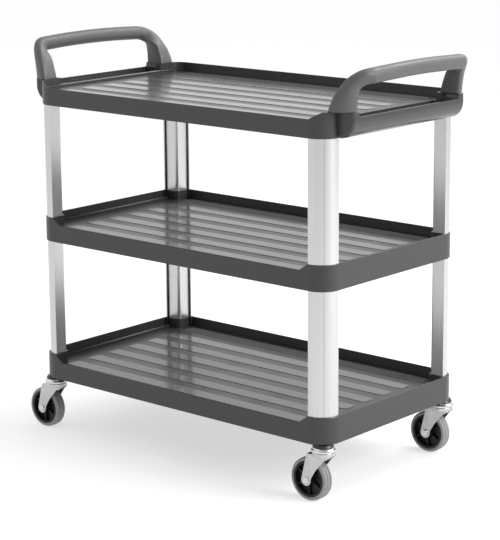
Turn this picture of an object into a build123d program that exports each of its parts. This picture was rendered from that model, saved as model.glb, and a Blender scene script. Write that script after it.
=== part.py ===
from build123d import *
import math
import os

# Food service trolley: three moulded shelves on aluminium corner uprights, two bow handles, four swivel casters.
# X runs along the length, Y along the depth (the lowered shelf fronts face -Y), Z is up, z = 0 is the floor.
# All sizes are in millimetres.

# shelves
LENGTH = 900.0            # shelf body, without the end troughs
DEPTH = 494.0
CORNER_R = 45.0           # plan radius of the shelf corners
SKIN = 3.5                # wall of the mouldings
RIM = 4.0                 # thickness of the upstanding rims
PAN_HALF = 434.0          # half length of the sunk load floor
PAN_DROP = 7.0            # floor below the front lip
BOTTOM_Z = 136.5          # undersides of the three shelves
MIDDLE_Z = 481.8
TOP_Z = 816.5
BOTTOM_GROW = 2.5         # the lowest shelf is this much larger all round
FULL_H = 60.0             # rim height above the underside
LIP_H = 44.0              # lowered front lip above the underside
TOP_FULL_H = 58.0
TOP_LIP_H = 42.0
FLOOR_T = 3.5
RIB_COUNT = 7             # broad raised bands on each load floor
RIB_PITCH = 70.0
RIB_W = 38.0
RIB_LEN = 768.0
RIB_H = 0.9

# uprights
POST_INSET = 2.2          # outer face of the upright behind the shelf face
POST_LEG = 47.5
POST_BODY = 42.0
POST_R = 43.0
POST_WALL = 2.2
FLANGE_T = 3.0
SOCKET_FLOOR = 8.0        # solid base under the lower uprights

# end troughs and handle pads of the top shelf
END_X = 492.0             # outer face of the end beams
END_Y = 205.0             # half width of the end beams
END_R = 8.0
ROLL_R = 38.0             # rolled underside of the end beams
BEAM_DROP = 11.0          # beam top below the pads
PAD_Y = 176.0             # the pads reach from here outwards
BEAM_T = 4.5

# handles
FOOT_X = 437.0            # inner corner of each foot, which spreads outwards from it
FOOT_Y = 183.5
FOOT_L = 54.0
FOOT_W = 44.0
FOOT_MID_X = 456.6
FOOT_MID_Y = 198.4
GRIP_Z = 955.5
GRIP_HALF_H = 17.0
GRIP_HALF_W = 16.0
GRIP_X = 510.0
SCREW_X = 464.0
SCREW_Y = 193.0

# casters
AXIS_X = 427.0            # swivel axes
AXIS_Y = 224.0
TRAIL = 33.0
WHEEL_R = 50.0
WHEEL_W = 28.0
RIM_R = 41.4              # inside of the tyre
CROWN_Z = 110.0           # underside of the fork crown
RACE_Z = 103.5            # underside of the race bulge below the crown
RACE_R = 18.0
HEAD_R = 26.5
PLATE_T = 3.0
LEG_IN = 17.8             # inner face of the fork legs from the wheel's middle plane
LEG_TURN = 7.5            # how far the front part of each leg turns in
PIN_R = 5.0
STEM_R = 6.0
RUN_GAP = 0.05            # radial clearance of the running fits

POST_X = LENGTH / 2 - POST_INSET      # outer corner of an upright
POST_Y = DEPTH / 2 - POST_INSET

CORNERS = {"fl": (-1, -1), "fr": (1, -1), "bl": (-1, 1), "br": (1, 1)}


def save(shape, name):
    shape.label = name
    export_step(shape, f"parts/{name}.step")
    print(name, round(shape.volume / 1000.0, 1), "cm3", len(shape.solids()), "solids")


def box(x0, x1, y0, y1, z0, z1):
    """Block between two corners."""
    mid = ((x0 + x1) / 2, (y0 + y1) / 2, (z0 + z1) / 2)
    return Pos(*mid) * Box(x1 - x0, y1 - y0, z1 - z0)


def rod(x, y, z0, z1, r):
    """Upright cylinder between two heights."""
    return Pos(x, y, (z0 + z1) / 2) * Cylinder(r, z1 - z0)


def slab(length, depth, radius, z0, z1):
    """Rounded rectangle between two heights."""
    return Pos(0, 0, z0) * extrude(RectangleRounded(length, depth, radius), z1 - z0)


def to_corner(shape, sx, sy):
    """Carries a shape modelled at the +X +Y corner, the same on both sides of its diagonal, to another corner."""
    turn = {(1, 1): 0, (-1, 1): 90, (-1, -1): 180, (1, -1): 270}[(sx, sy)]
    return Pos(sx * POST_X, sy * POST_Y, 0) * Rot(0, 0, turn) * Pos(-POST_X, -POST_Y, 0) * shape


def at_corners(shape):
    """Four copies of a shape modelled at the +X +Y corner."""
    return [to_corner(shape, sx, sy) for sx, sy in CORNERS.values()]


def at_spots(x, y, z0, z1, r):
    """Four upright cylinders, one in each quarter."""
    return [rod(sx * x, sy * y, z0, z1, r) for sx, sy in CORNERS.values()]


def group(shapes):
    return Compound(children=[s for s in shapes])


def edges_near(shape, test):
    return [e for e in shape.edges() if test(e.center(), e)]


# ---------------------------------------------------------------- uprights

def rect_uv(u0, u1, v0, v1):
    """Rectangle given from the outer corner of the upright, u along -X and v along -Y."""
    return Pos(POST_X - (u0 + u1) / 2, POST_Y - (v0 + v1) / 2) * Rectangle(u1 - u0, v1 - v0)


def rounded_outside(inset, radius):
    """Everything inside the rounded outer corner."""
    face = rect_uv(inset, 120.0, inset, 120.0)
    corner = face.vertices().sort_by(Axis.X)[-2:].sort_by(Axis.Y)[-1]
    return fillet(corner, radius)


def post_outline(extra=0.0):
    """Outside of the extrusion; extra grows it inwards for the shelf sleeves."""
    body = rect_uv(0, POST_BODY + extra, 0, POST_BODY + extra)
    inner = body.vertices().sort_by(Axis.X)[:2].sort_by(Axis.Y)[0]
    body = fillet(inner, 8.0 + extra)
    leg_a = rect_uv(0, POST_LEG + extra, 0, FLANGE_T + extra)
    leg_b = rect_uv(0, FLANGE_T + extra, 0, POST_LEG + extra)
    return (body + leg_a + leg_b) & rounded_outside(0.0, POST_R)


def post_section():
    """Hollow extrusion: quarter-round outside, boxed inside, one slot behind each flange."""
    slot_a = rect_uv(34.0, POST_BODY + 1, FLANGE_T, FLANGE_T + 2.6)
    slot_b = rect_uv(FLANGE_T, FLANGE_T + 2.6, 34.0, POST_BODY + 1)
    hollow = rect_uv(POST_WALL, POST_BODY - POST_WALL, POST_WALL, POST_BODY - POST_WALL)
    hollow -= rect_uv(31.8, POST_BODY, 0, 10.2)
    hollow -= rect_uv(0, 10.2, 31.8, POST_BODY)
    hollow = hollow & rounded_outside(POST_WALL, POST_R - POST_WALL)
    tip = hollow.vertices().sort_by(lambda v: v.X + v.Y)[0]
    hollow = fillet(tip, 5.0)
    return post_outline() - slot_a - slot_b - hollow


def upright(z0, z1):
    return Pos(0, 0, z0) * extrude(post_section(), z1 - z0)


def post_column(z0, z1, extra=0.0):
    """Solid column the size of an upright, for sockets, or larger for the sleeves round them."""
    return Pos(0, 0, z0) * extrude(post_outline(extra), z1 - z0)


LOWER_0 = BOTTOM_Z + SOCKET_FLOOR
LOWER_1 = MIDDLE_Z + 14.0
UPPER_0 = MIDDLE_Z + 19.0
UPPER_1 = TOP_Z + TOP_LIP_H - PAN_DROP - FLOOR_T - 7.0


# ---------------------------------------------------------------- shelves

def floor_bands(z):
    """Broad raised bands on the load floor."""
    bands = []
    for i in range(RIB_COUNT):
        y = (i - (RIB_COUNT - 1) / 2) * RIB_PITCH
        band = Pos(0, y, z - 0.5) * extrude(RectangleRounded(RIB_LEN, RIB_W, 12.0), RIB_H + 0.5)
        top = band.faces().sort_by(Axis.Z)[-1]
        bands.append(fillet(top.edges(), 0.8))
    return bands


def under_webs(z0, z1, half_x, half_y):
    """Thin stiffening webs below the load floor."""
    webs = [box(-half_x, half_x, y - 1.2, y + 1.2, z0, z1) for y in (-150.0, -50.0, 50.0, 150.0)]
    webs += [box(x - 1.2, x + 1.2, -half_y, half_y, z0, z1) for x in (-330.0, -165.0, 0.0, 165.0, 330.0)]
    return webs


def front_opening(z_lip, z_top, lip_end, ramp_end, y_face, reach):
    """Cuts the front rim down to the lip, with a ramp at each end."""
    pts = [(-ramp_end, z_top), (-lip_end, z_lip), (lip_end, z_lip), (ramp_end, z_top)]
    pts += [(ramp_end, z_top + 5), (-ramp_end, z_top + 5)]
    outline = Plane.XZ * make_face(Polyline(*pts, close=True))
    return Pos(0, -y_face + reach, 0) * extrude(outline, reach + 5.0)


def shelf(z0, full_h, lip_h, grow, lip_end, ramp_end, sleeves):
    """One shelf moulding. The sleeves of the upper uprights rise through the pan where they are wanted."""
    length = LENGTH + 2 * grow
    depth = DEPTH + 2 * grow
    radius = CORNER_R + grow
    z_lip = z0 + lip_h
    z_top = z0 + full_h
    z_floor = z_lip - PAN_DROP
    z_under = z_floor - FLOOR_T
    body = slab(length, depth, radius, z0, z_top)
    body = fillet(body.faces().sort_by(Axis.Z)[0].edges(), 2.5)
    body = fillet(body.faces().sort_by(Axis.Z)[-1].edges(), 1.8)
    columns = at_corners(post_column(z0 - 10, z_top + 10, SKIN))
    under = slab(length - 2 * SKIN, depth - 2 * SKIN, radius - SKIN, z0 - 1, z_under)
    pan = slab(2 * PAN_HALF, depth - 2 * RIM, 24.0, z_floor, z_lip + 0.5)
    low = Pos(0, 0, z_lip - 1.8) * RectangleRounded(2 * PAN_HALF, depth - 2 * RIM, 24.0)
    high = Pos(0, 0, z_lip + 0.2) * RectangleRounded(2 * PAN_HALF + 3.6, depth - 2 * RIM, 24.0)
    pan = pan + loft([low, high])
    well = slab(length - 2 * RIM, depth - 2 * RIM, radius - RIM, z_lip, z_top + 1)
    if not sleeves:
        well = slab(2 * PAN_HALF, depth - 2 * RIM, 24.0, z_lip, z_top + 1)
    for c in columns:
        under = under - c
        if sleeves:
            pan = pan - c
            well = well - c
    reach = RIM + 1.0 if sleeves else 20.0
    cut = front_opening(z_lip, z_top, lip_end, ramp_end, depth / 2, reach)
    body = body - under - pan - well - cut
    lip_edges = edges_near(body, lambda p, e: abs(p.Z - z_lip) < 0.2 and p.Y < -depth / 2 + RIM + 0.5
                           and e.length > 300)
    body = fillet(lip_edges, 1.5)
    for band in floor_bands(z_floor):
        body = body + band
    webs = under_webs(z_under - 12.0, z_under + 0.5, length / 2 - 2, depth / 2 - 2)
    for web in webs:
        for c in columns:
            web = web - c
        body = body + web
    return body


def make_middle():
    body = shelf(MIDDLE_Z, FULL_H, LIP_H, 0.0, 377.0, 400.0, True)
    for c in at_corners(post_column(MIDDLE_Z - 1, LOWER_1)):
        body = body - c
    for c in at_corners(post_column(UPPER_0, MIDDLE_Z + FULL_H + 1)):
        body = body - c
    for c in at_spots(AXIS_X, AXIS_Y, MIDDLE_Z, MIDDLE_Z + FULL_H, 4.5):
        body = body - c
    return body


def make_bottom():
    body = shelf(BOTTOM_Z, FULL_H + 2.0, LIP_H + 0.5, BOTTOM_GROW, 377.0, 400.0, True)
    for c in at_corners(post_column(LOWER_0, BOTTOM_Z + FULL_H + 3)):
        body = body - c
    for c in at_spots(AXIS_X, AXIS_Y, BOTTOM_Z - 1, LOWER_0 + 1, STEM_R + 0.3):
        body = body - c
    return body


def end_profile(inset, x_in, z_lo, z_hi):
    """Side profile of an end beam: straight outside, rolled underside."""
    xc = END_X - ROLL_R
    zc = TOP_Z + ROLL_R
    r = ROLL_R - inset
    start = (xc, zc - r)
    middle = (xc + r * math.sin(math.pi / 4), zc - r * math.cos(math.pi / 4))
    end = (xc + r, zc)
    side = [Line((x_in, start[1]), start), ThreePointArc(start, middle, end), Line(end, (xc + r, z_hi))]
    side += [Line((xc + r, z_hi), (x_in, z_hi)), Line((x_in, z_hi), (x_in, start[1]))]
    return Plane.XZ * make_face(Curve() + side)


def make_end():
    """End beam, trough and the two handle pads at the +X end, without the shelf body."""
    z_top = TOP_Z + TOP_FULL_H
    solid = Pos(0, END_Y, 0) * extrude(end_profile(0.0, 440.0, 0, z_top), 2 * END_Y)
    upright_edges = edges_near(solid, lambda p, e: abs(abs(p.Y) - END_Y) < 0.1 and p.X > END_X - ROLL_R - 0.5
                               and e.center().X > END_X - 30 and abs(p.Z - z_top) > 1)
    solid = fillet(upright_edges, END_R)
    solid = fillet(solid.faces().sort_by(Axis.Z)[-1].edges().filter_by(lambda e: e.center().X > 441), 1.8)
    trough_top = z_top - BEAM_DROP
    notch = Pos(0, PAD_Y + 8, 0) * extrude(Plane.XZ * make_face(Polyline(
        (400, trough_top), (520, trough_top), (520, z_top + 5), (400, z_top + 5), close=True)), 2 * PAD_Y + 16)
    low = edges_near(notch, lambda p, e: abs(p.Z - trough_top) < 0.1 and abs(abs(p.Y) - PAD_Y - 8) < 0.1)
    notch = fillet(low, 7.0)
    pocket = Pos(0, PAD_Y, 0) * extrude(end_profile(BEAM_T, PAN_HALF + RIM, 0, z_top + 5), 2 * PAD_Y)
    pocket = pocket - box(400, PAN_HALF + RIM, -300, 300, 700, 1000)
    solid = solid - notch - pocket
    return solid, notch, pocket


def make_top():
    z_top = TOP_Z + TOP_FULL_H
    z_lip = TOP_Z + TOP_LIP_H
    body = shelf(TOP_Z, TOP_FULL_H, TOP_LIP_H, 0.0, 403.0, 434.0, False)
    end, notch, pocket = make_end()
    lowered = box(PAN_HALF - 1, 460.0, -PAD_Y, PAD_Y, z_lip, z_top + 5)
    for sx in (1, -1):
        part = end if sx > 0 else Rot(0, 0, 180) * end
        cut = pocket if sx > 0 else Rot(0, 0, 180) * pocket
        low = lowered if sx > 0 else Rot(0, 0, 180) * lowered
        body = body - low
        body = body + part
        body = body - cut
        for y in (-166.0, -154.0, 154.0, 166.0):
            x0, x1 = sorted((sx * (PAN_HALF + RIM - 0.5), sx * (PAN_HALF + RIM + 12.0)))
            body = body + box(x0, x1, y - 1.5, y + 1.5, TOP_Z + 3, z_lip + 1)
    for c in at_corners(post_column(TOP_Z - 1, UPPER_1)):
        body = body - c
    for c in at_spots(AXIS_X, AXIS_Y, UPPER_1 - 1, UPPER_1 + 7.0, 5.5):
        body = body - c
    for c in at_spots(SCREW_X, SCREW_Y, TOP_Z - 5, z_top + 1, 3.2):
        body = body - c
    for c in at_spots(SCREW_X, SCREW_Y, TOP_Z - 5, TOP_Z + 12, 7.0):
        body = body - c
    return body


# ---------------------------------------------------------------- handles

def foot_reach(t):
    """Distance from the foot's middle to its edge: two straight inner sides and a round outer side."""
    c = math.cos(t)
    s = math.sin(t)
    dx = FOOT_MID_X - FOOT_X
    dy = FOOT_MID_Y - FOOT_Y
    qa = (c / FOOT_L) ** 2 + (s / FOOT_W) ** 2
    qb = dx * c / FOOT_L ** 2 + dy * s / FOOT_W ** 2
    qc = (dx / FOOT_L) ** 2 + (dy / FOOT_W) ** 2 - 1.0
    reach = [(-qb + math.sqrt(qb * qb - qa * qc)) / qa]
    if c < -0.05:
        reach.append(-dx / c)
    if s < -0.05:
        reach.append(-dy / s)
    p = 9.0
    return sum(r ** -p for r in reach) ** (-1.0 / p)


def handle_section(x, y, z, half_x, half_n, tilt, foot=0.0):
    """Closed spline round a leg or grip section. tilt 0 is a level section, 90 stands across Y."""
    points = []
    count = 28
    for i in range(count):
        t = 2 * math.pi * i / count
        c = math.cos(t)
        s = math.sin(t)
        r = (abs(c) ** 2.3 / half_x ** 2.3 + abs(s) ** 2.3 / half_n ** 2.3) ** (-1 / 2.3)
        r = foot * foot_reach(t) + (1 - foot) * r
        a = math.radians(tilt)
        points.append((x + r * c, y + r * s * math.cos(a), z + r * s * math.sin(a)))
    return points


def closed_spline(points, side):
    """Wire through the points of one section, on the +Y side or reflected to the -Y side."""
    return Wire([Edge.make_spline([Vector(px, side * py, pz) for px, py, pz in points], periodic=True)])


def between(keys, k, t):
    """Smooth value between key k and key k + 1 of a list of equal-length tuples."""
    before = keys[max(k - 1, 0)]
    start = keys[k]
    end = keys[k + 1]
    after = keys[min(k + 2, len(keys) - 1)]
    out = []
    for p0, p1, p2, p3 in zip(before, start, end, after):
        slope = (p2 - p0) * t + (2 * p0 - 5 * p1 + 4 * p2 - p3) * t * t + (3 * p1 - p0 - 3 * p2 + p3) * t ** 3
        out.append(p1 + 0.5 * slope)
    return tuple(out)


def make_handle():
    """Bow handle at the +X end, from one foot over the grip to the other foot."""
    z0 = TOP_Z + TOP_FULL_H
    bend_r = 28.0
    bend_y = 164.0
    bend_z = GRIP_Z - 4.5 - bend_r
    keys = [
        (FOOT_MID_X, FOOT_MID_Y, z0, 18.0, 18.0, 0, 1.0),
        (FOOT_MID_X + 1.6, FOOT_MID_Y, z0 + 10, 18.0, 18.0, 0, 0.92),
        (FOOT_MID_X + 4.8, FOOT_MID_Y - 0.4, z0 + 22, 18.0, 18.0, 0, 0.77),
        (FOOT_MID_X + 9.2, FOOT_MID_Y - 1.2, z0 + 36, 18.0, 18.0, 0, 0.60),
    ]
    for tilt, x, foot in ((0, 472.0, 0.42), (30, 485.0, 0.24), (60, 498.0, 0.07), (90, 506.0, 0.0)):
        a = math.radians(tilt)
        y = bend_y + bend_r * math.cos(a) + (3.0 if tilt == 0 else 0.0)
        width = 17.5 if tilt < 60 else GRIP_HALF_W
        height = 17.5 if tilt < 60 else GRIP_HALF_H
        keys.append((x, y, bend_z + bend_r * math.sin(a), width, height, tilt, foot))
    sections = []
    for k in range(len(keys) - 1):
        for i in range(4):
            sections.append(handle_section(*between(keys, k, i / 4)))
    stations = [
        (506.0, bend_y, 4.5), (508.6, 125.0, 2.8), (GRIP_X, 85.0, 1.3), (GRIP_X, 42.0, 0.3), (GRIP_X, 0.0, 0.0),
    ]
    for x, y, drop in stations:
        sections.append(handle_section(x, y, GRIP_Z - drop, GRIP_HALF_W, GRIP_HALF_H, 90, 0.0))
    split = 20
    pieces = []
    for side in (1, -1):
        for stretch in (sections[:split + 1], sections[split:]):
            wires = [closed_spline(points[::side], side) for points in stretch]
            pieces.append(Solid.make_loft(wires, ruled=True))
    whole = pieces[0].fuse(*pieces[1:])
    for y in (-SCREW_Y, SCREW_Y):
        whole = whole - rod(SCREW_X, y, z0 - 1, z0 + 20, 2.6)
    return whole


# ---------------------------------------------------------------- casters (modelled with the swivel axis on Z)

def turned(profile, x=-TRAIL, z=WHEEL_R):
    """Solid of revolution about the wheel axle; profile points are (distance along the axle, radius)."""
    face = make_face(Polyline(*profile, close=True))
    solid = revolve(Plane.XY * face, Axis.X)
    return Pos(x, 0, z) * Rot(0, 0, 90) * solid


def make_tyre():
    half = WHEEL_W / 2
    profile = [(-half + 1.5, RIM_R), (-half, RIM_R + 1.5), (-half, 45.0), (-half + 1.2, 47.6), (-half + 3.2, 49.2)]
    for y in (-4.6, 4.6):
        profile += [(y - 0.9, WHEEL_R), (y - 0.5, 48.4), (y + 0.5, 48.4),
                    (y + 0.9, WHEEL_R)]
    profile += [(half - 3.2, 49.2), (half - 1.2, 47.6), (half, 45.0), (half, RIM_R + 1.5), (half - 1.5, RIM_R)]
    return turned(profile)


def make_hub():
    half = WHEEL_W / 2
    profile = [(-half + 1.0, RIM_R), (-half + 1.0, 36.0), (-3.0, 34.5), (-3.0, 15.0), (-half - 2.0, 13.0),
               (-half - 2.0, 6.0 + RUN_GAP), (half + 2.0, 6.0 + RUN_GAP), (half + 2.0, 13.0), (3.0, 15.0),
               (3.0, 34.5), (half - 1.0, 36.0), (half - 1.0, RIM_R)]
    hub = turned(profile)
    for i in range(6):
        spoke = Pos(-TRAIL, 0, WHEEL_R) * Rot(0, 60 * i + 30, 0) * box(12.0, 36.0, -9.5, 9.5, -1.6, 1.6)
        hub = hub + spoke
    return hub


def leg_outline():
    """Side view of a fork leg, crown at the top and the axle eye at the bottom."""
    eye_r = 13.0
    x, z = -TRAIL, WHEEL_R
    top = CROWN_Z + PLATE_T
    rear = [Line((-31.0, top), (x - eye_r, z)), ThreePointArc((x - eye_r, z), (x, z - eye_r), (x + eye_r, z))]
    front = [Spline((x + eye_r, z), (-14.5, 64.0), (-6.0, 78.0), (6.0, 92.0), (22.0, CROWN_Z - 3),
                    tangents=((0.05, 1.0), (1.0, 0.35)))]
    close = [Line((22.0, CROWN_Z - 3), (24.0, top)), Line((24.0, top), (-31.0, top))]
    return Plane.XZ * make_face(Curve() + rear + front + close)


def make_fork():
    side = Pos(0, 40, 0) * extrude(leg_outline(), 80)
    inner = [(-60, LEG_IN), (-23, LEG_IN), (27, LEG_IN - LEG_TURN)]
    outer = [(27, LEG_IN - LEG_TURN + PLATE_T), (-23, LEG_IN + PLATE_T), (-60, LEG_IN + PLATE_T)]
    plan = make_face(Polyline(*inner, *outer, close=True))
    plate = Pos(0, 0, 20) * extrude(plan, 120, dir=(0, 0, 1))
    leg = plate & side
    eye = Pos(-TRAIL, 0, WHEEL_R) * Rot(90, 0, 0) * Cylinder(4.0, 100)
    front_y = LEG_IN + PLATE_T - LEG_TURN * 47 / 50
    crown_plan = make_face(Polyline((-31.0, -20.8), (-23, -20.8), (24, -front_y), (24, front_y), (-23, 20.8),
                                    (-31.0, 20.8), close=True))
    crown = Pos(0, 0, CROWN_Z) * extrude(crown_plan, PLATE_T)
    race = rod(0, 0, RACE_Z, CROWN_Z + 1.0, RACE_R)
    race = chamfer(race.faces().sort_by(Axis.Z)[0].edges(), 2.5)
    head = rod(0, 0, CROWN_Z + 0.5, CROWN_Z + 9.2, HEAD_R)
    head = fillet(head.edges().filter_by(GeomType.CIRCLE), 1.2)
    race = race + head - rod(0, 0, CROWN_Z + 3.4, CROWN_Z + 12.0, 24.6)
    far_plan = make_face(Polyline(*[(px, -py) for px, py in inner + outer], close=True))
    far_leg = (Pos(0, 0, 20) * extrude(far_plan, 120, dir=(0, 0, 1))) & side
    fork = leg + far_leg + crown + race
    fork = fork - eye - rod(0, 0, 90, 120, PIN_R + RUN_GAP)
    return fork


def make_stem():
    """Kingpin riveted under the crown, threaded stem above."""
    pin = rod(0, 0, RACE_Z - 5.4, RACE_Z - 0.4, 8.5)
    pin = fillet(pin.faces().sort_by(Axis.Z)[0].edges(), 2.0)
    return pin + rod(0, 0, RACE_Z - 0.4, 128.0, PIN_R) + rod(0, 0, 128.0, 166.0, STEM_R)


def make_cap():
    """Pressed upper race of the swivel head, fixed to the stem."""
    profile = [(PIN_R, 118.4), (PIN_R, 128.0), (STEM_R, 128.0), (STEM_R, 130.5), (22.5, 130.5), (24.0, 129.8),
               (24.8, 126.8), (26.0, 126.0), (27.2, 124.9), (27.5, 123.6), (27.5, 120.7), (26.6, 119.7),
               (24.0, 119.7), (24.0, 118.4)]
    return revolve(Plane.XZ * make_face(Polyline(*profile, close=True)), Axis.Z)


def make_balls():
    """Ball ring of the swivel bearing, under the upper race."""
    balls = []
    for i in range(14):
        a = 2 * math.pi * i / 14
        balls.append(Pos(18.0 * math.cos(a), 18.0 * math.sin(a), CROWN_Z + 5.9) * Sphere(2.44))
    return balls


def make_collar():
    """Moulded washer between the swivel head and the shelf."""
    profile = [(STEM_R, 130.5), (22.0, 130.5), (24.0, 131.5), (21.5, BOTTOM_Z), (STEM_R, BOTTOM_Z)]
    return revolve(Plane.XZ * make_face(Polyline(*profile, close=True)), Axis.Z)


def across(x, z, y0, y1, r):
    """Cylinder along the axle."""
    return Pos(x, (y0 + y1) / 2, z) * Rot(90, 0, 0) * Cylinder(r, y1 - y0)


def make_axle():
    """Axle bolt with a round head on the -Y side."""
    face_y = LEG_IN + PLATE_T
    head = across(-TRAIL, WHEEL_R, -face_y - 3.0, -face_y, 8.0)
    head = fillet(head.faces().sort_by(Axis.Y)[0].edges(), 2.0)
    return head + across(-TRAIL, WHEEL_R, -face_y, face_y + 4.6, 4.0)


def make_nut():
    face_y = LEG_IN + PLATE_T
    hexagon = extrude(RegularPolygon(7.5, 6), 4.2)
    hexagon = Pos(-TRAIL, face_y + 4.2, WHEEL_R) * Rot(90, 0, 0) * hexagon
    return hexagon - across(-TRAIL, WHEEL_R, face_y - 1, face_y + 9, 4.0)


def make_sleeve():
    """Steel spacer on the axle, clamped between the legs; the hub turns on it."""
    return across(-TRAIL, WHEEL_R, -LEG_IN, LEG_IN, 6.0) - across(-TRAIL, WHEEL_R, -30, 30, 4.0)


def make_insert():
    """Threaded brass insert moulded into the top shelf."""
    return rod(AXIS_X, AXIS_Y, UPPER_1, UPPER_1 + 7.0, 5.5) - rod(AXIS_X, AXIS_Y, UPPER_1, UPPER_1 + 7.0, 4.0)


def make_coupling():
    """Long hexagon nut standing on the bottom shelf inside each lower upright."""
    nut = Pos(AXIS_X, AXIS_Y, LOWER_0) * extrude(RegularPolygon(9.0, 6), 40.0)
    nut = nut - rod(AXIS_X, AXIS_Y, LOWER_0, LOWER_0 + 22.0, STEM_R)
    return nut - rod(AXIS_X, AXIS_Y, LOWER_0 + 22.0, LOWER_0 + 40.0, 4.0)


def make_screws():
    """Handle screws, driven up through the pad into the foot."""
    z0 = TOP_Z + TOP_FULL_H
    screws = []
    for sx, sy in CORNERS.values():
        head = rod(sx * SCREW_X, sy * SCREW_Y, TOP_Z + 8.5, TOP_Z + 12.0, 6.0)
        screws.append(head + rod(sx * SCREW_X, sy * SCREW_Y, TOP_Z + 12.0, z0 + 19.0, 2.6))
    return screws


def main():
    os.makedirs("parts", exist_ok=True)
    save(make_top(), "top_shelf")
    save(make_middle(), "middle_shelf")
    save(make_bottom(), "bottom_shelf")
    handle = make_handle()
    save(handle, "handle_right")
    save(Rot(0, 0, 180) * handle, "handle_left")
    lower = upright(LOWER_0, LOWER_1)
    upper = upright(UPPER_0, UPPER_1)
    for key, (sx, sy) in CORNERS.items():
        save(to_corner(lower, sx, sy), f"lower_upright_{key}")
        save(to_corner(upper, sx, sy), f"upper_upright_{key}")
    save(group(at_spots(AXIS_X, AXIS_Y, LOWER_0 + 22.0, UPPER_1 + 7.0, 4.0)), "tie_rods")
    save(group(at_corners(make_coupling())), "coupling_nuts")
    save(group(at_corners(make_insert())), "threaded_inserts")
    save(group(make_screws()), "handle_screws")
    spots = [Pos(sx * AXIS_X, sy * AXIS_Y, 0) for sx, sy in CORNERS.values()]
    stem = make_stem()
    cap = make_cap()
    collar = make_collar()
    balls = make_balls()
    save(group([spot * stem for spot in spots]), "caster_stems")
    save(group([spot * cap for spot in spots]), "swivel_caps")
    save(group([spot * collar for spot in spots]), "caster_collars")
    save(group([spot * ball for spot in spots for ball in balls]), "swivel_balls")
    pieces = {"fork": make_fork(), "axle_bolt": make_axle(), "axle_nut": make_nut(), "axle_sleeve": make_sleeve(),
              "hub": make_hub(), "tyre": make_tyre()}
    for key, (sx, sy) in CORNERS.items():
        for name, piece in pieces.items():
            save(Pos(sx * AXIS_X, sy * AXIS_Y, 0) * piece, f"{name}_{key}")


main()
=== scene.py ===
import math

import bpy
from mathutils import Matrix, Vector

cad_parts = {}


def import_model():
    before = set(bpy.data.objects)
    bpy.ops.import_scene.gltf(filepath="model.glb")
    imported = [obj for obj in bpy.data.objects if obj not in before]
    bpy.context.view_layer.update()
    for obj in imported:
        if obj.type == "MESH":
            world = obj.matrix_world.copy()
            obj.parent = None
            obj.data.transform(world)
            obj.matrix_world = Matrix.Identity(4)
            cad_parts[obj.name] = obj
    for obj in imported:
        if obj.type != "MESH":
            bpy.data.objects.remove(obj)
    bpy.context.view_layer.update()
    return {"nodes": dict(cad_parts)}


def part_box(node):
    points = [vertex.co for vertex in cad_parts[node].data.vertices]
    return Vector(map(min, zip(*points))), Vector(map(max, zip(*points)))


# Looks of a food service trolley: three grey mouldings, satin aluminium uprights, bow handles
# and swivel casters. Everything is in metres, in the CAD frame: X along the trolley, the
# lowered shelf fronts face -Y, floor at z = 0.

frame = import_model()
NODES = frame["nodes"]

# greys, as linear reflectance
PLASTIC = 0.030
BAND_SHEEN_GREY = 0.088              # the bands on the load floors: a lighter grey that is painted sheen, on top of their real gloss
HANDLE = 0.070
TYRE = 0.200
BLACK = 0.014
HUB = 0.008
ALUMINIUM = 0.57
ZINC = 0.50
CHROME = 0.62
STEEL = 0.62
BRASS = 0.75
BRASS_TINT = (1.0, 0.78, 0.42)

# shelves: the bands lie side by side across the trolley
BAND_PITCH = 0.070
BAND_WIDTH = 0.038
BAND_LENGTH = 0.768
END_STARTS = 0.455        # the end mouldings of the top shelf are glossier than its walls
PLASTIC_IOR = 1.47
FACES_UP = (0.80, 0.97)   # upward part of the normal over which a surface turns glossy

# roughness spans
WALL_ROUGH = (0.34, 0.42)
END_ROUGH = (0.16, 0.22)
GROOVE_ROUGH = (0.30, 0.37)
BAND_ROUGH = (0.13, 0.18)
HANDLE_ROUGH = (0.44, 0.52)
ALUMINIUM_ROUGH = (0.26, 0.36)

GRAIN_DEPTH = 0.0004
SCRATCH_DEPTH = 0.0002
NOISE_SPAN = (0.3, 0.7)   # where nearly all of a noise texture's values lie

# studio
FLOOR = 0.46
FLOOR_GLOW = 0.57         # keeps the floor's shadow as soft and pale as a lit studio floor
FLOOR_SIZE = 80.0
HORIZON = 1.15
ZENITH = 0.95
DARK_SIDE = (0.66, -0.74, 0.12)     # direction of the darker stretch of room
DARK_SIDE_LEVEL = 0.42

# name, side, place, aim and power of each soft box
PANELS = (
    ("soft_top", 2.2, (0.8, 2.4, 3.6), (0.0, 0.0, 0.6), 110.0),
    ("soft_right", 2.2, (4.2, 0.9, 2.6), (0.3, 0.0, 0.4), 200.0),
)

CAMERA_AT = (2.9788, -3.3853, 1.4654)
CAMERA_YAW = math.radians(40.97)
CAMERA_PITCH = math.radians(11.85)
CAMERA_ROLL = math.radians(-0.36)
LENS = 128.4
SENSOR = 36.0
SHIFT_X = -0.0106
SHIFT_Y = -0.07
FAR_CLIP = 200.0


# ---------------------------------------------------------------- node helpers

def new_material(name):
    """A material with a Principled shader; returns the material, its node tree and the shader."""
    mat = bpy.data.materials.new(name)
    mat.use_nodes = True
    return mat, mat.node_tree, mat.node_tree.nodes["Principled BSDF"]


def math_node(tree, operation, a, b=None):
    """One Math node; a and b are sockets or numbers."""
    node = tree.nodes.new("ShaderNodeMath")
    node.operation = operation
    for i, value in enumerate((a, b)):
        if value is None:
            continue
        if isinstance(value, bpy.types.NodeSocket):
            tree.links.new(value, node.inputs[i])
        else:
            node.inputs[i].default_value = value
    return node.outputs[0]


def absolute(tree, value):
    return math_node(tree, "ABSOLUTE", value)


def weighted(tree, a, b, share):
    """A share of socket a plus the rest of socket b."""
    return math_node(tree, "ADD", math_node(tree, "MULTIPLY", a, share),
                     math_node(tree, "MULTIPLY", b, 1.0 - share))


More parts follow.
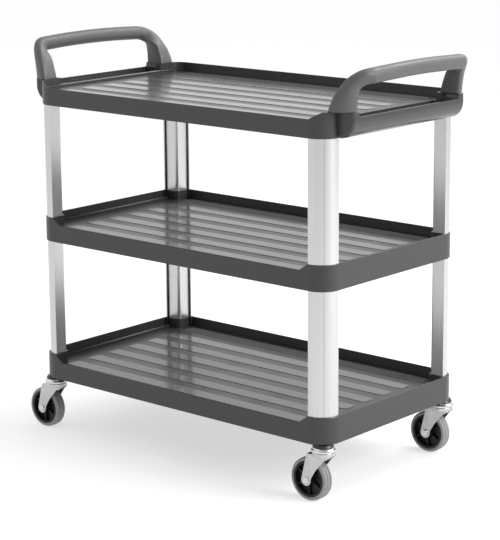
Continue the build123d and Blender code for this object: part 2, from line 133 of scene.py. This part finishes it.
def blend(tree, a, b, factor):
    """From socket a at factor 0 to socket b at factor 1."""
    step = math_node(tree, "MULTIPLY", math_node(tree, "SUBTRACT", b, a), factor)
    return math_node(tree, "ADD", a, step)


def map_range(tree, value, lo, hi, out_lo, out_hi, smooth=False):
    """Maps a socket from one span to another, clamped."""
    node = tree.nodes.new("ShaderNodeMapRange")
    node.interpolation_type = "SMOOTHSTEP" if smooth else "LINEAR"
    tree.links.new(value, node.inputs[0])
    for i, number in enumerate((lo, hi, out_lo, out_hi)):
        node.inputs[i + 1].default_value = number
    return node.outputs[0]


def spread(tree, value, span):
    """A noise socket mapped to a span."""
    return map_range(tree, value, *NOISE_SPAN, *span)


def scaled(tree, colour, factor):
    """A colour socket multiplied by a number socket."""
    node = tree.nodes.new("ShaderNodeVectorMath")
    node.operation = "SCALE"
    tree.links.new(colour, node.inputs[0])
    tree.links.new(factor, node.inputs["Scale"])
    return node.outputs[0]


def place(tree, scale=(1.0, 1.0, 1.0)):
    """Object coordinates, stretched."""
    coords = tree.nodes.new("ShaderNodeTexCoord")
    mapping = tree.nodes.new("ShaderNodeMapping")
    mapping.inputs["Scale"].default_value = scale
    tree.links.new(coords.outputs["Object"], mapping.inputs["Vector"])
    return mapping.outputs["Vector"]


def xyz(tree, output="Object"):
    """The three parts of a texture coordinate."""
    coords = tree.nodes.new("ShaderNodeTexCoord")
    split = tree.nodes.new("ShaderNodeSeparateXYZ")
    tree.links.new(coords.outputs[output], split.inputs[0])
    return split.outputs


def noise(tree, vector, scale, detail=3.0, roughness=0.55):
    node = tree.nodes.new("ShaderNodeTexNoise")
    node.inputs["Scale"].default_value = scale
    node.inputs["Detail"].default_value = detail
    node.inputs["Roughness"].default_value = roughness
    tree.links.new(vector, node.inputs["Vector"])
    return node.outputs["Fac"]


def ramp(tree, value, start, end):
    """Grey ramp between two stops, each a position and a grey."""
    node = tree.nodes.new("ShaderNodeValToRGB")
    for element, (position, grey) in zip(node.color_ramp.elements, (start, end)):
        element.position = position
        element.color = (grey, grey, grey, 1.0)
    tree.links.new(value, node.inputs[0])
    return node.outputs["Color"]


def mottle(tree, value, grey, darker, lighter):
    """A grey that varies with a noise socket between two of its multiples."""
    low, high = NOISE_SPAN
    return ramp(tree, value, (low, grey * darker), (high, grey * lighter))


def bump(tree, height, strength, distance, shader):
    """Bump from a height socket; strength is a number or a socket."""
    node = tree.nodes.new("ShaderNodeBump")
    node.inputs["Distance"].default_value = distance
    if isinstance(strength, bpy.types.NodeSocket):
        tree.links.new(strength, node.inputs["Strength"])
    else:
        node.inputs["Strength"].default_value = strength
    tree.links.new(height, node.inputs["Height"])
    tree.links.new(node.outputs["Normal"], shader.inputs["Normal"])


# ---------------------------------------------------------------- materials

def band_mask(tree, x, y, up):
    """1 on the broad bands of the load floors, 0 elsewhere."""
    turns = math_node(tree, "ADD", math_node(tree, "DIVIDE", y, BAND_PITCH), 0.5)
    wave = absolute(tree, math_node(tree, "SUBTRACT", math_node(tree, "FRACT", turns), 0.5))
    half = BAND_WIDTH / BAND_PITCH / 2
    across = map_range(tree, wave, half - 0.03, half + 0.06, 1.0, 0.0, smooth=True)
    end = BAND_LENGTH / 2
    along = map_range(tree, absolute(tree, x), end - 0.006, end + 0.002, 1.0, 0.0)
    return math_node(tree, "MULTIPLY", math_node(tree, "MULTIPLY", across, along), up)


def plastic_material():
    """Moulded grey plastic: a fine grain on the walls, smoother and glossier on what faces up."""
    mat, tree, shader = new_material("shelf_plastic")
    grain = noise(tree, place(tree), 1500.0, 4.0, 0.6)
    cloud = noise(tree, place(tree), 9.0, 3.0)
    speck = noise(tree, place(tree), 420.0, 2.0)
    up = map_range(tree, xyz(tree, "Normal")[2], *FACES_UP, 0.0, 1.0, smooth=True)
    x, y, _ = xyz(tree)
    inside = band_mask(tree, x, y, up)
    tone = weighted(tree, cloud, speck, 0.6)
    colour = tree.nodes.new("ShaderNodeMix")
    colour.data_type = "RGBA"
    tree.links.new(inside, colour.inputs["Factor"])
    tree.links.new(mottle(tree, tone, PLASTIC, 0.90, 1.10), colour.inputs[6])
    # painted sheen: the bands get the lighter grey; their lower roughness below is their real
    # gloss
    tree.links.new(mottle(tree, tone, BAND_SHEEN_GREY, 0.93, 1.07), colour.inputs[7])
    tree.links.new(colour.outputs[2], shader.inputs["Base Color"])
    at_end = map_range(tree, absolute(tree, x), END_STARTS, END_STARTS + 0.004, 0.0, 1.0)
    wall = blend(tree, spread(tree, cloud, WALL_ROUGH), spread(tree, cloud, END_ROUGH), at_end)
    plain = blend(tree, wall, spread(tree, cloud, GROOVE_ROUGH), up)
    rough = blend(tree, plain, spread(tree, cloud, BAND_ROUGH), inside)
    tree.links.new(rough, shader.inputs["Roughness"])
    shader.inputs["IOR"].default_value = PLASTIC_IOR
    bump(tree, grain, map_range(tree, up, 0.0, 1.0, 0.30, 0.06), GRAIN_DEPTH, shader)
    return mat


def handle_material():
    """Matte grip plastic with an even texture and painted shade: a thin dark line where each foot
    stands on the shelf.
    """
    mat, tree, shader = new_material("handle_plastic")
    foot_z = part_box("handle_right")[0].z
    grain = noise(tree, place(tree), 1900.0, 4.0, 0.65)
    cloud = noise(tree, place(tree), 14.0, 3.0)
    # painted shade: the lowest millimetre or so of each foot is darkened where it meets the shelf
    painted_foot_shade = map_range(tree, xyz(tree)[2], foot_z + 0.0006, foot_z + 0.0014, 0.15, 1.0)
    tone = mottle(tree, cloud, HANDLE, 0.94, 1.06)
    tree.links.new(scaled(tree, tone, painted_foot_shade), shader.inputs["Base Color"])
    tree.links.new(spread(tree, cloud, HANDLE_ROUGH), shader.inputs["Roughness"])
    bump(tree, grain, 0.35, GRAIN_DEPTH, shader)
    return mat


def aluminium_material():
    """Satin anodised extrusion: fine streaks along Z, and painted shade in a thin dark line down
    the rounded face.
    """
    mat, tree, shader = new_material("upright_aluminium")
    streaks = noise(tree, place(tree, (900.0, 900.0, 3.0)), 1.0, 3.0)
    bands = noise(tree, place(tree, (160.0, 160.0, 0.8)), 1.0, 2.0)
    x, y, _ = xyz(tree)
    across = math_node(tree, "SUBTRACT", absolute(tree, x), absolute(tree, y))
    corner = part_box("lower_upright_br")[1]
    off = absolute(tree, math_node(tree, "SUBTRACT", across, corner.x - corner.y))
    # painted shade: the base colour darkens to 0.55 in a thin line down the middle of the rounded
    # outer face
    painted_centre_shade = map_range(tree, off, 0.0006, 0.0013, 0.55, 1.0)
    grey = mottle(tree, weighted(tree, streaks, bands, 0.6), ALUMINIUM, 0.93, 1.05)
    tree.links.new(scaled(tree, grey, painted_centre_shade), shader.inputs["Base Color"])
    shader.inputs["Metallic"].default_value = 1.0
    tree.links.new(spread(tree, streaks, ALUMINIUM_ROUGH), shader.inputs["Roughness"])
    bump(tree, streaks, 0.12, SCRATCH_DEPTH, shader)
    return mat


def metal_material(name, grey, rough, tint=None):
    """Bare or plated metal with soft stains and fine scratches."""
    mat, tree, shader = new_material(name)
    fine = noise(tree, place(tree, (60.0, 60.0, 60.0)), 6.0, 4.0)
    stain = noise(tree, place(tree), 45.0, 3.0)
    colour = mottle(tree, stain, grey, 0.93, 1.04)
    if tint:
        tinted = tree.nodes.new("ShaderNodeVectorMath")
        tinted.operation = "MULTIPLY"
        tree.links.new(colour, tinted.inputs[0])
        tinted.inputs[1].default_value = tint
        colour = tinted.outputs[0]
    tree.links.new(colour, shader.inputs["Base Color"])
    shader.inputs["Metallic"].default_value = 1.0
    tree.links.new(spread(tree, fine, rough), shader.inputs["Roughness"])
    bump(tree, fine, 0.05, SCRATCH_DEPTH, shader)
    return mat


def moulded_material(name, grey, rough, relief=0.2, specular=0.5):
    """Plain moulded plastic or rubber with a fine grain."""
    mat, tree, shader = new_material(name)
    grain = noise(tree, place(tree), 1300.0, 4.0, 0.6)
    cloud = noise(tree, place(tree), 35.0, 3.0)
    tree.links.new(mottle(tree, cloud, grey, 0.88, 1.12), shader.inputs["Base Color"])
    tree.links.new(spread(tree, cloud, rough), shader.inputs["Roughness"])
    shader.inputs["Specular IOR Level"].default_value = specular
    bump(tree, grain, relief, GRAIN_DEPTH, shader)
    return mat


MATERIALS = {
    "shelf": plastic_material(),
    "handle": handle_material(),
    "upright": aluminium_material(),
    "zinc": metal_material("fork_zinc", ZINC, (0.22, 0.32)),
    "chrome": metal_material("swivel_plate", CHROME, (0.05, 0.10)),
    "steel": metal_material("axle_steel", STEEL, (0.20, 0.32)),
    "brass": metal_material("insert_brass", BRASS, (0.22, 0.34), tint=BRASS_TINT),
    "black": moulded_material("collar_black", BLACK, (0.34, 0.42)),
    "hub": moulded_material("hub_plastic", HUB, (0.38, 0.46), specular=0.25),
    "tyre": moulded_material("tyre_rubber", TYRE, (0.50, 0.60), relief=0.3),
}

# material of each node, by the start of its name
FINISH = {
    "top_shelf": "shelf",
    "middle_shelf": "shelf",
    "bottom_shelf": "shelf",
    "handle": "handle",
    "handle_screws": "steel",
    "lower_upright": "upright",
    "upper_upright": "upright",
    "tie_rods": "steel",
    "coupling_nuts": "steel",
    "threaded_inserts": "brass",
    "caster_stems": "steel",
    "swivel_caps": "chrome",
    "caster_collars": "black",
    "swivel_balls": "steel",
    "fork": "zinc",
    "axle_bolt": "steel",
    "axle_nut": "steel",
    "axle_sleeve": "steel",
    "hub": "hub",
    "tyre": "tyre",
}


def finish_of(name):
    """Material of a node, by the longest matching start of its name."""
    start = max((s for s in FINISH if name.startswith(s)), key=len)
    return MATERIALS[FINISH[start]]


for name, obj in NODES.items():
    obj.data.materials.clear()
    obj.data.materials.append(finish_of(name))


# ---------------------------------------------------------------- stage, light, camera

def floor():
    """Wide pale floor."""
    bpy.ops.mesh.primitive_plane_add(size=FLOOR_SIZE, location=(0.0, 0.0, 0.0))
    obj = bpy.context.object
    obj.name = "studio_floor"
    mat, tree, shader = new_material("studio_floor")
    cloud = noise(tree, place(tree), 1.5, 2.0)
    tree.links.new(mottle(tree, cloud, FLOOR, 0.98, 1.0), shader.inputs["Base Color"])
    shader.inputs["Roughness"].default_value = 0.9
    shader.inputs["Specular IOR Level"].default_value = 0.0
    shader.inputs["Emission Color"].default_value = (1.0, 1.0, 1.0, 1.0)
    shader.inputs["Emission Strength"].default_value = FLOOR_GLOW
    obj.data.materials.append(mat)


def world():
    """Soft white surroundings, with a darker stretch of room on the camera's side."""
    sky = bpy.data.worlds.new("studio")
    bpy.context.scene.world = sky
    sky.use_nodes = True
    tree = sky.node_tree
    height = map_range(tree, xyz(tree, "Generated")[2], 0.0, 0.6, 0.0, 1.0, smooth=True)
    grey = ramp(tree, height, (0.0, HORIZON), (1.0, ZENITH))
    coords = tree.nodes.new("ShaderNodeTexCoord")
    facing = tree.nodes.new("ShaderNodeVectorMath")
    facing.operation = "DOT_PRODUCT"
    facing.inputs[1].default_value = DARK_SIDE
    tree.links.new(coords.outputs["Generated"], facing.inputs[0])
    dim = map_range(tree, facing.outputs["Value"], 0.45, 0.97, 1.0, DARK_SIDE_LEVEL, smooth=True)
    background = tree.nodes["Background"]
    tree.links.new(scaled(tree, grey, dim), background.inputs["Color"])
    background.inputs["Strength"].default_value = 1.0


def panel(name, side, location, aim, power):
    """Square soft box."""
    data = bpy.data.lights.new(name, "AREA")
    data.shape = "SQUARE"
    data.size = side
    data.energy = power
    obj = bpy.data.objects.new(name, data)
    obj.location = location
    towards = Vector(aim) - Vector(location)
    obj.rotation_euler = towards.to_track_quat("-Z", "Y").to_euler()
    bpy.context.scene.collection.objects.link(obj)


def camera():
    """Long lens, looking from a little above at the front right corner."""
    sin_yaw, cos_yaw = math.sin(CAMERA_YAW), math.cos(CAMERA_YAW)
    level = math.cos(CAMERA_PITCH)
    right = Vector((cos_yaw, sin_yaw, 0.0))
    ahead = Vector((-sin_yaw * level, cos_yaw * level, -math.sin(CAMERA_PITCH)))
    up = right.cross(ahead)
    rolled_right = right * math.cos(CAMERA_ROLL) + up * math.sin(CAMERA_ROLL)
    rolled_up = up * math.cos(CAMERA_ROLL) - right * math.sin(CAMERA_ROLL)
    turn = Matrix((rolled_right, rolled_up, -ahead)).transposed()
    data = bpy.data.cameras.new("camera")
    data.sensor_width = SENSOR
    data.sensor_fit = "AUTO"
    data.lens = LENS
    data.shift_x = SHIFT_X
    data.shift_y = SHIFT_Y
    data.clip_end = FAR_CLIP
    obj = bpy.data.objects.new("camera", data)
    obj.matrix_world = Matrix.Translation(CAMERA_AT) @ turn.to_4x4()
    bpy.context.scene.collection.objects.link(obj)
    bpy.context.scene.camera = obj


floor()
world()
for setting in PANELS:
    panel(*setting)
camera()

scene = bpy.context.scene
scene.view_settings.view_transform = "Standard"
scene.view_settings.look = "None"
